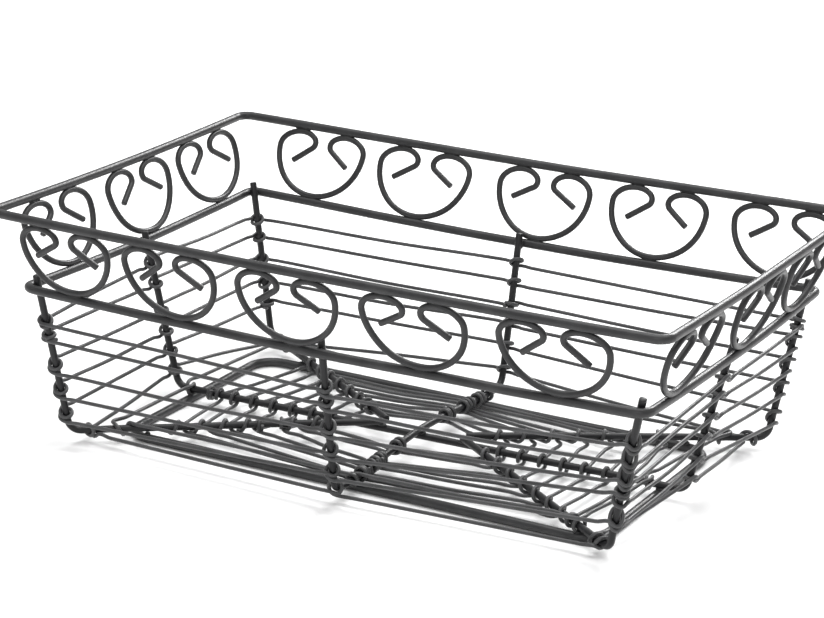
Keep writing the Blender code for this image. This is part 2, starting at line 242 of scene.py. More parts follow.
# ---- studio: each light's place, aim, size and power ----
LIGHTS = {
    "top_soft": ((0.0, 0.2, 2.2), (0.0, 0.0, 0.05), (2.6, 2.0), 52.0),
    "rear_strip": ((-0.05, 1.9, 1.25), (0.0, 0.0, 0.06), (0.9, 0.45), 34.0),
    "front_fill": ((0.5, -2.2, 1.3), (0.0, 0.0, 0.06), (1.6, 1.2), 14.0),
}
AIR_STRENGTH = 0.60
FLOOR_HALF = 6.0
FLOOR_DROP = 0.0002
FLOOR_COLOUR = (0.93, 0.93, 0.93)
FLOOR_ROUGHNESS = 0.9
FLOOR_SPECULAR = 0.1
MOTTLE_SCALE = 6.0
MOTTLE_SHADE = 0.985

# ---- seed of every random draw and of the noise that bends the wires ----
SEED = 11

# ---- camera ----
CAMERA_PLACE = Vector((0.6282, -1.1812, 0.5169))
CAMERA_AZIMUTH = 0.4937
CAMERA_ELEVATION = 0.3183
CAMERA_ROLL = 0.0247
CAMERA_LENS = 119.8
SENSOR_WIDTH = 36.0


# ------------------------------------------------------------------ frame sizes
def ring_size(node, diameter):
    """Half length, half width and corner height of a ring's centre line, from its CAD box."""
    low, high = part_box(node)
    r = diameter / 2.0
    return (high[0] - low[0]) / 2.0 - r, (high[1] - low[1]) / 2.0 - r, high[2] - r


LOW_X, LOW_Y, LOW_Z = ring_size("lower_rim", RIM_D)
TOP_X, TOP_Y, TOP_Z = ring_size("top_rim", RIM_D)
FOOT_X, FOOT_Y, FOOT_Z = ring_size("foot_ring", FOOT_D)
FOOT_CENTRE_X = (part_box("foot_ring")[0][0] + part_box("foot_ring")[1][0]) / 2.0
FLOOR_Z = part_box("rib_long")[0][2] + RIB_D / 2.0
CROSSING_Z = FLOOR_Z + RIB_D + CROSS_GAP
X_AXIS = Vector((1.0, 0.0, 0.0))
Y_AXIS = Vector((0.0, 1.0, 0.0))
Z_AXIS = Vector((0.0, 0.0, 1.0))


# ------------------------------------------------------------------ small helpers
def smooth_step(t):
    t = max(0.0, min(1.0, t))
    return t * t * (3.0 - 2.0 * t)


def mix(a, b, t):
    return a + (b - a) * t


def drop_repeats(points, closed):
    out = []
    for p in points:
        if not out or (p - out[-1]).length > REPEAT_LIMIT:
            out.append(p)
    if closed and (out[0] - out[-1]).length < REPEAT_LIMIT:
        out.pop()
    return out


def bezier(p0, h0, h1, p1, steps):
    """Points on a cubic curve, without its first point."""
    out = []
    for i in range(1, steps + 1):
        t = i / steps
        u = 1.0 - t
        out.append(p0 * u ** 3 + h0 * (3 * u * u * t) + h1 * (3 * u * t * t) + p1 * t ** 3)
    return out


def oval_arc(centre, reach, start, stop, steps):
    """Points on an arc of an oval, both ends included."""
    out = []
    for i in range(steps + 1):
        a = start + (stop - start) * i / steps
        out.append((centre[0] + reach[0] * math.cos(a), centre[1] + reach[1] * math.sin(a)))
    return out


def fillet(a, corner, b, radius, steps):
    """Arc of the given radius that rounds the corner between two straight legs."""
    da = (a - corner).normalized()
    db = (b - corner).normalized()
    half = math.acos(max(-1.0, min(1.0, da.dot(db)))) / 2.0
    reach = radius / math.tan(half)
    centre = corner + (da + db).normalized() * (radius / math.sin(half))
    start = corner + da * reach - centre
    stop = corner + db * reach - centre
    total = math.pi - 2.0 * half
    out = []
    for i in range(steps + 1):
        t = i / steps
        w0 = math.sin((1.0 - t) * total) / math.sin(total)
        w1 = math.sin(t * total) / math.sin(total)
        out.append(centre + start * w0 + stop * w1)
    return out


def even_steps(points, closed, spacing):
    """Adds points so that no straight stretch of a path is longer than the spacing."""
    out = []
    count = len(points)
    for i in range(count if closed else count - 1):
        a = points[i]
        b = points[(i + 1) % count]
        parts = max(1, math.ceil((b - a).length / spacing))
        out += [a.lerp(b, k / parts) for k in range(parts)]
    if not closed:
        out.append(points[-1])
    return out


def waver(points, amount, size, seed):
    """Hand-bent look: shifts a path by a slow noise."""
    shift = Vector((seed * 7.3, seed * 3.1, seed * 5.7))
    return [p + noise.noise_vector(p / size + shift) * amount for p in points]


# ------------------------------------------------------------------ sweeping wire
def sweep(bm, points, radius, closed, sides):
    """Round wire along a path, with rolled-over blunt ends and a slightly uneven coating."""
    points = drop_repeats(points, closed)
    count = len(points)
    tangents = []
    for i in range(count):
        before = points[i - 1] if (closed or i > 0) else points[i]
        after = points[(i + 1) % count] if (closed or i < count - 1) else points[i]
        tangents.append((after - before).normalized())
    normal = tangents[0].orthogonal().normalized()
    normals = []
    for t in tangents:
        normal = (normal - t * normal.dot(t)).normalized()
        normals.append(normal)
    twist = 0.0
    if closed:
        last = (normal - tangents[0] * normal.dot(tangents[0])).normalized()
        side = tangents[0].cross(normals[0])
        twist = math.atan2(last.dot(side), last.dot(normals[0]))

    def ring(centre, tangent, normal, turn, scale):
        side = tangent.cross(normal)
        out = []
        for k in range(sides):
            a = 2.0 * math.pi * k / sides - turn
            ray = normal * math.cos(a) + side * math.sin(a)
            p = centre + ray * (radius * scale)
            swell = 1.0 + LUMPS * noise.noise(p * LUMP_SCALE)
            out.append(bm.verts.new(centre + ray * (radius * scale * swell)))
        return out

    def end_ring(end, outward, a):
        """One of the shrinking rings that round off a cut end; outward is -1 at the start of the path."""
        centre = points[end] + tangents[end] * (outward * END_ROLL * radius * math.sin(a))
        return ring(centre, tangents[end], normals[end], 0.0, 1.0 - END_ROLL * (1.0 - math.cos(a)))

    rings = []
    if not closed:
        rings += [end_ring(0, -1.0, a) for a in reversed(END_ANGLES)]
    for i in range(count):
        rings.append(ring(points[i], tangents[i], normals[i], twist * i / count, 1.0))
    if not closed:
        rings += [end_ring(-1, 1.0, a) for a in END_ANGLES]
    total = len(rings)
    for i in range(total if closed else total - 1):
        a_ring = rings[i]
        b_ring = rings[(i + 1) % total]
        for k in range(sides):
            k2 = (k + 1) % sides
            bm.faces.new((a_ring[k], a_ring[k2], b_ring[k2], b_ring[k]))
    if not closed:
        bm.faces.new(list(reversed(rings[0])))
        bm.faces.new(rings[-1])


def bead(bm, centre, along, across, length, width, height, seed):
    """Lump of weld metal: a lozenge with tapering ends and an uneven skin."""
    along = along.normalized()
    across = (across - along * across.dot(along)).normalized()
    up = along.cross(across)
    rings = []
    for i in range(BEAD_STATIONS):
        s = -1.0 + 2.0 * (i + 0.5) / BEAD_STATIONS
        middle = centre + along * (s * length / 2.0)
        full = (1.0 - s * s) ** BEAD_TAPER
        ring = []
        for k in range(BEAD_SIDES):
            a = 2.0 * math.pi * k / BEAD_SIDES
            offset = across * (math.cos(a) * width / 2.0) + up * (math.sin(a) * height / 2.0)
            grain = noise.noise((middle + offset * full) * BEAD_GRAIN + Vector((seed, 0.0, 0.0)))
            ring.append(bm.verts.new(middle + offset * full * (1.0 + BEAD_UNEVEN * grain)))
        rings.append(ring)
    for a_ring, b_ring in zip(rings, rings[1:]):
        for k in range(BEAD_SIDES):
            k2 = (k + 1) % BEAD_SIDES
            bm.faces.new((a_ring[k], a_ring[k2], b_ring[k2], b_ring[k]))
    for ring, s in ((rings[0], -1.0), (rings[-1], 1.0)):
        tip = bm.verts.new(centre + along * (s * length / 2.0))
        for k in range(BEAD_SIDES):
            bm.faces.new((ring[k], ring[(k + 1) % BEAD_SIDES], tip))


def finish_piece(name, bm, material, replaced):
    """Turns a bmesh into a piece of the model that rides on the root body."""
    bmesh.ops.recalc_face_normals(bm, faces=bm.faces)
    mesh = bpy.data.meshes.new(name)
    bm.to_mesh(mesh)
    bm.free()
    mesh.shade_smooth()
    mesh.set_sharp_from_angle(angle=SHARP_ANGLE)
    mesh.materials.append(material)
    ob = bpy.data.objects.new(name, mesh)
    bpy.context.scene.collection.objects.link(ob)
    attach(ob, "root")
    if replaced:
        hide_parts(replaced)


def wire_piece(node, path, diameter, sides, material, closed):
    """One wire of the model, drawn in place of its CAD node."""
    bm = bmesh.new()
    sweep(bm, path, diameter / 2.0, closed, sides)
    finish_piece(node + "_look", bm, material, node)


# ------------------------------------------------------------------ materials
def grey(value):
    return (value, value, value, 1.0)


def powder_coat(name, dark, light, roughness, peel, seed):
    """Semi-gloss coating on steel: blotchy tone, orange peel, dust specks and worn high spots."""
    mat = bpy.data.materials.new(name)
    mat.use_nodes = True
    tree = mat.node_tree
    nodes = tree.nodes
    links = tree.links
    shader = nodes["Principled BSDF"]
    shader.inputs["Metallic"].default_value = 0.0
    shader.inputs["IOR"].default_value = 1.5
    shader.inputs["Specular IOR Level"].default_value = COAT_SPECULAR

    coords = nodes.new("ShaderNodeTexCoord")
    place = nodes.new("ShaderNodeMapping")
    place.inputs["Location"].default_value = (seed, seed * 0.7, seed * 1.3)
    links.new(coords.outputs["Object"], place.inputs["Vector"])

    def noise_at(scale, detail, rough):
        node = nodes.new("ShaderNodeTexNoise")
        node.inputs["Scale"].default_value = scale
        node.inputs["Detail"].default_value = detail
        node.inputs["Roughness"].default_value = rough
        links.new(place.outputs["Vector"], node.inputs["Vector"])
        return node.outputs["Fac"]

    def ramp(source, points):
        node = nodes.new("ShaderNodeValToRGB")
        while len(node.color_ramp.elements) < len(points):
            node.color_ramp.elements.new(0.5)
        for element, (at, colour) in zip(node.color_ramp.elements, points):
            element.position = at
            element.color = colour
        links.new(source, node.inputs["Fac"])
        return node.outputs["Color"]

    def tint(under, colour, amount):
        node = nodes.new("ShaderNodeMix")
        node.data_type = "RGBA"
        node.inputs["B"].default_value = colour
        links.new(amount, node.inputs["Factor"])
        links.new(under, node.inputs["A"])
        return node.outputs["Result"]

    def bump(height, depth):
        node = nodes.new("ShaderNodeBump")
        node.inputs["Strength"].default_value = peel
        node.inputs["Distance"].default_value = depth
        links.new(height, node.inputs["Height"])
        return node

    blotch = noise_at(BLOTCH_SCALE, 4.0, 0.55)
    tone = ramp(blotch, ((0.34, (*dark, 1.0)), (0.68, (*light, 1.0))))
    dust = ramp(noise_at(DUST_SCALE, 2.0, 0.5), ((0.66, grey(0.0)), (0.76, grey(1.0))))
    thin_dust = nodes.new("ShaderNodeMath")
    thin_dust.operation = "MULTIPLY"
    thin_dust.inputs[1].default_value = DUST_SHARE
    links.new(dust, thin_dust.inputs[0])
    pale = tuple(min(1.0, c * DUST_PALER) for c in light)
    dusty = tint(tone, (*pale, 1.0), thin_dust.outputs["Value"])

    geometry = nodes.new("ShaderNodeNewGeometry")
    crest = ramp(geometry.outputs["Pointiness"], ((0.56, grey(0.0)), (0.66, grey(1.0))))
    patch = ramp(noise_at(PATCH_SCALE, 3.0, 0.6), ((0.50, grey(0.0)), (0.62, grey(0.7))))
    worn_at = nodes.new("ShaderNodeMath")
    worn_at.operation = "MULTIPLY"
    links.new(crest, worn_at.inputs[0])
    links.new(patch, worn_at.inputs[1])
    worn = tint(dusty, WORN_COLOUR, worn_at.outputs["Value"])
    links.new(worn, shader.inputs["Base Color"])

    gloss = nodes.new("ShaderNodeMapRange")
    gloss.inputs["To Min"].default_value = roughness - 0.06
    gloss.inputs["To Max"].default_value = roughness + 0.08
    links.new(noise_at(GLOSS_SCALE, 3.0, 0.6), gloss.inputs["Value"])
    links.new(gloss.outputs["Result"], shader.inputs["Roughness"])

    fine = bump(noise_at(PEEL_SCALE, 2.0, 0.5), PEEL_DEPTH)
    coarse = bump(noise_at(RIPPLE_SCALE, 2.0, 0.5), RIPPLE_DEPTH)
    links.new(fine.outputs["Normal"], coarse.inputs["Normal"])
    links.new(coarse.outputs["Normal"], shader.inputs["Normal"])
    return mat


COAT_RIM = powder_coat("coat_rim", (0.020, 0.020, 0.021), (0.034, 0.034, 0.035), 0.36, 0.32, 1.0)
COAT_SCROLL = powder_coat("coat_scroll", (0.018, 0.018, 0.019), (0.031, 0.031, 0.032), 0.36, 0.32, 2.0)
# the ribs get a darker copy of the one black coat: painted shade, for the darker look of the rib zones
COAT_RIB_PAINTED_SHADE = powder_coat("coat_rib_painted_shade", (0.006, 0.006, 0.007), (0.013, 0.013, 0.014), 0.38, 0.40, 3.0)
# the thin wire gets a lighter copy of the one black coat: painted sheen, for the grey that highlights
# give thin wires
COAT_WEAVE_PAINTED_SHEEN = powder_coat("coat_weave_painted_sheen", (0.042, 0.042, 0.043), (0.070, 0.070, 0.072), 0.33, 0.25, 4.0)
COAT_WELD = powder_coat("coat_weld", (0.012, 0.012, 0.012), (0.026, 0.026, 0.027), 0.52, 0.90, 5.0)


# ------------------------------------------------------------------ rims and foot ring
def ring_path(half_x, half_y, corner_r, steps):
    """Plan outline of a rounded rectangle, counter-clockwise."""
    out = []
    for q, (sx, sy) in enumerate(((1, 1), (-1, 1), (-1, -1), (1, -1))):
        centre = (sx * (half_x - corner_r), sy * (half_y - corner_r))
        start = q * math.pi / 2.0
        out += oval_arc(centre, (corner_r, corner_r), start, (q + 1) * math.pi / 2.0, steps)
    return out


def bow(x, y, half_x, half_y, bow_long, bow_short):
    """Drop of a rim below its corners: a shallow parabola along each side."""
    on_long_side = abs(abs(y) - half_y) < abs(abs(x) - half_x)
    if on_long_side:
        return bow_long * max(0.0, 1.0 - (x / half_x) ** 2)
    return bow_short * max(0.0, 1.0 - (y / half_y) ** 2)


def rim(node, half_x, half_y, z, corner_r, diameter, bow_long, bow_short, centre_x, seed):
    """Closed rounded-rectangle rod: a rim, or the foot ring, which has no bow."""
    plan = [Vector((x, y, 0.0)) for x, y in ring_path(half_x, half_y, corner_r, CORNER_STEPS)]
    path = []
    for p in even_steps(plan, True, PATH_STEP):
        drop = bow(p.x, p.y, half_x, half_y, bow_long, bow_short)
        path.append(Vector((p.x + centre_x, p.y, z - drop)))
    wire_piece(node, waver(path, *RIM_WAVER, seed), diameter, RIM_SIDES, COAT_RIM, True)


def low_rim_z(x, y):
    return LOW_Z - bow(x, y, LOW_X, LOW_Y, LOW_BOW_LONG, LOW_BOW_SHORT)


def top_rim_z(x, y):
    return TOP_Z - bow(x, y, TOP_X, TOP_Y, TOP_BOW_LONG, TOP_BOW_SHORT)


# ------------------------------------------------------------------ heart scrolls
def heart_half(height, width, tail, hook):
    """Right half of a heart scroll in its own plane, from bottom centre to the tail's end."""
    half_w = HEART_HALF_W * width
    lobe_x = LOBE_X * width
    inner_x = LOBE_INNER_X * width
    belly = height * HEART_BELLY_SHARE
    inner_v = height * HEART_INNER_SHARE
    quarter = math.pi / 2.0
    outer_lobe = (half_w - lobe_x, height - belly)
    inner_lobe = (lobe_x - inner_x, height - inner_v)
    hook_centre = (inner_x + HOOK_R, inner_v)
    out = oval_arc((0.0, belly), (half_w, belly), -quarter, 0.0, BELLY_STEPS)
    out += oval_arc((lobe_x, belly), outer_lobe, 0.0, quarter, LOBE_STEPS)[1:]
    out += oval_arc((lobe_x, inner_v), inner_lobe, quarter, math.pi, LOBE_STEPS)[1:]
    out += oval_arc(hook_centre, (HOOK_R, HOOK_R), math.pi, math.pi + hook, HOOK_STEPS)[1:]
    heading = hook - quarter
    end = out[-1]
    for i in range(1, TAIL_STEPS + 1):
        reach = tail * i / TAIL_STEPS
        out.append((end[0] + reach * math.cos(heading), end[1] + reach * math.sin(heading)))
    return out


def scroll(side, index, along, width, lean, rng):
    """One heart scroll standing in the flared band; returns the places of its welds."""
    node = "scroll_%s_%d" % (side, index)
    if side in ("front", "rear"):
        sign = -1.0 if side == "front" else 1.0
        low = Vector((along, sign * LOW_Y, low_rim_z(along, LOW_Y)))
        top = Vector((along, sign * TOP_Y, top_rim_z(along, TOP_Y)))
        run = X_AXIS
    else:
        sign = -1.0 if side == "left" else 1.0
        low = Vector((sign * LOW_X, along, low_rim_z(LOW_X, along)))
        top = Vector((sign * TOP_X, along, top_rim_z(TOP_X, along)))
        run = Y_AXIS
    rise = (top - low).normalized()
    seat = (RIM_D + SCROLL_D) / 2.0 - WELD_BITE
    height = (top - low).length - 2.0 * seat
    halves = []
    for _ in range(2):
        tail = TAIL_LEN + rng.uniform(*TAIL_SPREAD)
        hook = HOOK_TURN + math.radians(rng.uniform(*HOOK_SPREAD))
        halves.append(heart_half(height, width, tail, hook))
    outline = [(-u, v) for u, v in reversed(halves[0][1:])] + halves[1]
    path = [low + rise * (seat + v) + run * (u + (v - height / 2.0) * lean) for u, v in outline]
    path = waver(path, *SCROLL_WAVER, rng.uniform(0.0, 50.0))
    wire_piece(node, path, SCROLL_D, SCROLL_SIDES, COAT_SCROLL, False)
    normal = run.cross(rise)
    sway = height / 2.0 * lean
    touch = rise * (RIM_D / 2.0 - WELD_BITE / 2.0)
    welds = [(low + touch - run * sway, run, normal)]
    for u in (-LOBE_X * width, LOBE_X * width):
        welds.append((top - touch + run * (u + sway), run, normal))
    return welds


# ------------------------------------------------------------------ ribs and floor bars
def rib_top(key):
    """Centre of a rib where it is welded inside the lower rim."""
    sx, sy = key
    inset = RIM_D / 2.0 + RIB_D / 2.0 + RIB_SEAT_GAP
    if sx and sy:
        reach = (LOW_CORNER_R - inset) / math.sqrt(2.0)
        x = LOW_X - LOW_CORNER_R + reach
        y = LOW_Y - LOW_CORNER_R + reach
        return Vector((sx * x, sy * y, LOW_Z))
    if sx:
        return Vector((sx * (LOW_X - inset), RIB_TOP_SHIFT[key], low_rim_z(LOW_X, 0.0)))
    return Vector((RIB_TOP_SHIFT[key], sy * (LOW_Y - inset), low_rim_z(0.0, LOW_Y)))


def rib_foot(key):
    """Corner point where a rib turns into the floor."""
    x, y = RIB_FEET[key]
    return Vector((x, y, FLOOR_Z))


def floor_end(key):
    """Inner end of the floor leg of a rib."""
    sx, sy = key
    if sx and sy:
        return Vector((DIAGONAL_END_X[sx], sy * DIAGONAL_END_Y, CROSSING_Z))
    return Vector((BAR_MIDDLE.x, BAR_MIDDLE.y, CROSSING_Z if sy else FLOOR_Z))


def floor_leg(key, bend_end):
    """Centre line of the floor leg, from the end of the bend to its inner end."""
    end = floor_end(key)
    out = []
    for i in range(1, LEG_STEPS + 1):
        t = i / LEG_STEPS
        p = bend_end.lerp(end, t)
        if key[0] == 0:
            p.z = mix(FLOOR_Z, CROSSING_Z, smooth_step(t))
        out.append(p)
    return out


def rib_path(key):
    """Centre line of one rib: stub above the rim, wall leg, bend and floor leg."""
    at_rim = rib_top(key)
    foot = rib_foot(key)
    top = at_rim + (at_rim - foot).normalized() * (RIM_D / 2.0 + RIB_STUB)
    bend = fillet(top, foot, floor_end(key), RIB_BEND_R, BEND_STEPS)
    return [top] + bend + floor_leg(key, bend[-1])


def rib(node, path, seed):
    path = even_steps(drop_repeats(path, False), False, PATH_STEP)
    wire_piece(node, waver(path, *RIB_WAVER, seed), RIB_D, RIB_SIDES, COAT_RIB_PAINTED_SHADE, False)


def build_ribs():
    """The two ribs that run from wall to wall, then the four corner ribs."""
    rib("rib_long", rib_path((1, 0)) + list(reversed(rib_path((-1, 0)))), 20)
    rib("rib_cross", rib_path((0, 1)) + list(reversed(rib_path((0, -1)))), 21)
    rib("rib_corner_front_left", rib_path((-1, -1)), 30)
    rib("rib_corner_front_right", rib_path((1, -1)), 31)
    rib("rib_corner_rear_left", rib_path((-1, 1)), 32)
    rib("rib_corner_rear_right", rib_path((1, 1)), 33)


# ------------------------------------------------------------------ thin wire
def wrap(centre, axis, outward, travel, start, stop, pitch, tilt, bulge, bulge_at, late):
    """Thin wire wound round a rod between two angles; angle 0 is the outermost point.

    The wire stands off the rod by the bulge near one angle, in the later or the earlier part of the turn.
    """
    radius = (RIB_D + WEAVE_D) / 2.0 + WRAP_GAP
    steps = max(4, math.ceil((stop - start) / WRAP_STEP))
    out = []
    for i in range(steps + 1):
        a = start + (stop - start) * i / steps
        near = max(0.0, math.cos(a - bulge_at)) ** 2
        window = smooth_step((a - LATE_FROM) / (math.pi - LATE_FROM))
        if not late:
            window = 1.0 - window
        rho = radius + bulge * near * window
        lift = pitch * (a / (2.0 * math.pi) - 0.5) + tilt * math.sin(a - bulge_at)
        out.append(centre + axis * lift + outward * (rho * math.cos(a)) + travel * (rho * math.sin(a)))
    return out


def span(start_path, stop_path, ease, rng):
    """Points of the free stretch between two wraps, leaving and arriving along their tangents."""
    p0 = start_path[-1]
    p1 = stop_path[0]
    t0 = (start_path[-1] - start_path[-2]).normalized()
    t1 = (stop_path[1] - stop_path[0]).normalized()
    length = (p1 - p0).length
    chord = (p1 - p0).normalized()
    ease = min(ease, length * EASE_LIMIT)
    q0 = p0 + chord * ease
    q1 = p1 - chord * ease
    sag = Vector((rng.uniform(-1, 1), rng.uniform(-1, 1), rng.uniform(*SAG_LIFT)))
    sag *= min(SAG_LIMIT, length * SAG_SHARE)
    leave = chord * (ease * SPAN_PULL)
    out = bezier(p0, p0 + t0 * (ease * WRAP_PULL), q0 - leave, q0, EASE_STEPS)
    parts = max(2, math.ceil((q1 - q0).length / SPAN_STEP))
    for i in range(1, parts):
        t = i / parts
        out.append(q0.lerp(q1, t) + sag * math.sin(math.pi * t) ** 2)
    out.append(q1)
    out += bezier(q1, q1 + leave, p1 - t1 * (ease * WRAP_PULL), p1, EASE_STEPS)[:-1]
    return out


def rod_frame(centre, axis, outward, travel):
    """Outward and travel directions squared to a rod's axis."""
    axis = axis.normalized()
    outward = (outward - axis * outward.dot(axis)).normalized()
    side = axis.cross(outward)
    if side.dot(travel) < 0.0:
        side = -side
    return centre, axis, outward, side


def at_height(path, z):
    """Point and direction where a rib's wall leg passes a height."""
    for a, b in zip(path, path[1:]):
        if a.z >= z > b.z:
            return a.lerp(b, (a.z - z) / (a.z - b.z)), (b - a).normalized()
    return path[-1], (path[-1] - path[-2]).normalized()


def wall_station(key, level):
    """Frame of a rib's wall leg at a level; near the floor it turns to face down."""
    path = rib_path(key)
    z = mix(rib_top(key).z, FLOOR_Z, min(level, LOWEST_LEVEL))
    centre, axis = at_height(path, z)
    outward = Vector((key[0], key[1], 0.0)).normalized()
    if level > UNDER_LEVEL:
        outward.z = -smooth_step((level - UNDER_LEVEL) / (1.0 - UNDER_LEVEL))
    travel = Vector((-key[1], key[0], 0.0)).normalized()
    return rod_frame(centre, axis, outward, travel)


def open_round(stations, turns, looks, closing, ease, rng):
    """One wire taken round all rods, both its ends wound and cut at the closing rod."""
    count = len(stations)
    paths = []
    for step in range(count + 1):
        i = (closing + step) % count
        pitch, tilt, bulge, bulge_at, late = looks[i]
        centre, axis, outward, travel = stations[i]
        start = -turns[i] / 2.0
        stop = 2.0 * math.pi + turns[i] / 2.0
        if step == 0:
            start = math.radians(rng.uniform(*FIRST_CUT_ANGLE))
            centre = centre + axis * (CUT_SHIFT + pitch / 2.0)
            bulge = CUT_BULGE
        if step == count:
            stop = 2.0 * math.pi + math.radians(rng.uniform(*LAST_CUT_ANGLE))
            centre = centre - axis * (CUT_SHIFT + pitch / 2.0)
        if step in (0, count):
            pitch = CUT_PITCH
            tilt *= CUT_TILT_SHARE
        bulge *= rng.uniform(*BULGE_SPREAD)
        tilt *= rng.uniform(*TILT_SPREAD)
        points = wrap(centre, axis, outward, travel, start, stop, pitch, tilt, bulge, bulge_at, late)
        if step == 0:
            heading = (points[0] - points[1]).normalized()
            stub = rng.uniform(*FIRST_STUB)
            points = [points[0] + heading * stub, points[0] + heading * (stub * 0.5)] + points
        if step == count:
            heading = (points[-1] - points[-2]).normalized()
            stub = rng.uniform(*LAST_STUB)
            points = points + [points[-1] + heading * (stub * 0.5), points[-1] + heading * stub]
        paths.append(points)
    out = list(paths[0])
    for before, after in zip(paths, paths[1:]):
        out += span(before, after, ease, rng) + after
    return out


def wall_look(index, r):
    """How a wall round is wrapped on one rib."""
    pitch = WRAP_PITCH[index]
    if ROUND_ORDER[index] == RISING_KEY and r < RISING_ROUNDS:
        pitch = -pitch
    angle = math.radians(BULGE_ANGLE[index])
    return pitch, WRAP_TILT[index], WRAP_BULGE[index], angle, angle < 0.0


def wall_place(key, r):
    """Frame of the rib where a wall round crosses it; the last round goes under the corners."""
    if key in CORNER_KEYS and r == len(CLOSING_RIB) - 1:
        return leg_frame(key, rib_foot(key).lerp(floor_end(key), SKIRT_SHARE), -1.0)
    return wall_station(key, WALL_LEVELS[key][r])


def wall_rounds(rng):
    turns = [math.pi / 2.0 if key in CORNER_KEYS else SIDE_TURN for key in ROUND_ORDER]
    for r, closing in enumerate(CLOSING_RIB):
        stations = [wall_place(key, r) for key in ROUND_ORDER]
        looks = [wall_look(i, r) for i in range(len(ROUND_ORDER))]
        path = open_round(stations, turns, looks, closing, WALL_EASE, rng)
        wire_piece("wall_wire_%d" % (r + 1), path, WEAVE_D, WEAVE_SIDES, COAT_WEAVE_PAINTED_SHEEN, False)


def floor_place(key, index):
    """Plan position where a floor round crosses one floor leg."""
    foot = rib_foot(key)
    end = floor_end(key)
    if key[0] and key[1]:
        share = DIAGONAL_FIRST[key]
        if index > 0:
            share = DIAGONAL_SECOND[key] + DIAGONAL_STEP[key] * (index - 1)
        return foot.lerp(end, share)
    if key == (-1, 0):
        first, second, step = LONG_BAR_LEFT
        x = -first if index == 0 else step * (index - 1) - second
        return foot.lerp(end, (x - foot.x) / (end.x - foot.x))
    if key == (1, 0):
        first, step = LONG_BAR_RIGHT
        return foot.lerp(end, (first - step * index - foot.x) / (end.x - foot.x))
    y = CROSS_BAR_REAR[index] if key[1] > 0 else -CROSS_BAR_FRONT[index]
    return foot.lerp(end, (y - foot.y) / (end.y - foot.y))


def leg_frame(key, target, side):
    """Frame of a floor leg's centre line near a point, facing up or down."""
    path = rib_path(key)
    best = min(range(1, len(path) - 1), key=lambda i: (path[i] - target).length_squared)
    axis = (path[best + 1] - path[best - 1]).normalized()
    centre = path[best] + axis * (target - path[best]).dot(axis)
    travel = Vector((-key[1], key[0], 0.0)).normalized()
    return rod_frame(centre, axis, Vector((0.0, 0.0, side)), travel)


def floor_station(key, index):
    """Frame of a floor leg at a floor round, which lies on it if outermost and under it if not."""
    return leg_frame(key, floor_place(key, index), 1.0 if index == 0 else -1.0)


def floor_rounds(rng):
    turns = [0.0] * len(ROUND_ORDER)
    for r in range(FLOOR_ROUNDS):
        stations = []
        looks = []
        for key in ROUND_ORDER:
            stations.append(floor_station(key, r))
            pitch = FLOOR_PITCH + rng.uniform(0.0, FLOOR_PITCH_SPREAD)
            if key[1] == 0:
                pitch += LONG_BAR_PITCH
            if key in CORNER_KEYS:
                pitch = DIAGONAL_PITCH[key] * rng.uniform(*DIAGONAL_SPREAD)
            looks.append((pitch, rng.uniform(*FLOOR_TILT), rng.uniform(*FLOOR_BULGE),
                          math.radians(rng.uniform(*FLOOR_BULGE_ANGLE)), False))
        path = open_round(stations, turns, looks, rng.randrange(len(ROUND_ORDER)), FLOOR_EASE, rng)
        wire_piece("floor_wire_%d" % (r + 1), path, WEAVE_D, WEAVE_SIDES, COAT_WEAVE_PAINTED_SHEEN, False)


# ------------------------------------------------------------------ welds
def weld_piece(name, beads):
    """A group of beads as one piece; each bead is its centre, two directions and three sizes."""
    bm = bmesh.new()
    for i, (centre, along, across, length, width, height) in enumerate(beads):
        bead(bm, centre, along, across, length, width, height, i * BEAD_SEED_STEP)
    finish_piece(name, bm, COAT_WELD, None)


def ring_crossing(start, end):
    """Where a floor leg passes over the foot ring, by halving the interval."""
    def outside(p):
        px = abs(p.x - FOOT_CENTRE_X)
        x = max(0.0, px - (FOOT_X - FOOT_CORNER_R))
        y = max(0.0, abs(p.y) - (FOOT_Y - FOOT_CORNER_R))
        if x > 0.0 and y > 0.0:
            return math.hypot(x, y) > FOOT_CORNER_R
        return px > FOOT_X or abs(p.y) > FOOT_Y

    for _ in range(HALVINGS):
        middle = (start + end) / 2.0
        if outside(middle):
            start = middle
        else:
            end = middle
    return start


def scroll_beads(welds, rng):
    beads = []
    for centre, run, normal in welds:
        beads.append((centre, run, normal, *(rng.uniform(*spread) for spread in SCROLL_BEAD)))
    return beads


def rib_top_beads(rng):
    """Two beads side by side where each rib meets the lower rim."""
    spread, width, height = RIB_BEAD
    beads = []
    for key in ROUND_ORDER:
        at_rim = rib_top(key)
        outward = Vector((key[0], key[1], 0.0)).normalized()
        along = (at_rim - rib_foot(key)).normalized()
        centre = at_rim + outward * (RIB_D / 2.0 + RIB_SEAT_GAP / 2.0)
        side = outward.cross(along)
        for shift in (-1.0, 1.0):
            place = centre + side * (shift * RIB_BEAD_SIDE) - along * RIB_BEAD_DROP
            beads.append((place, along, side, rng.uniform(*spread), width, height))
    return beads


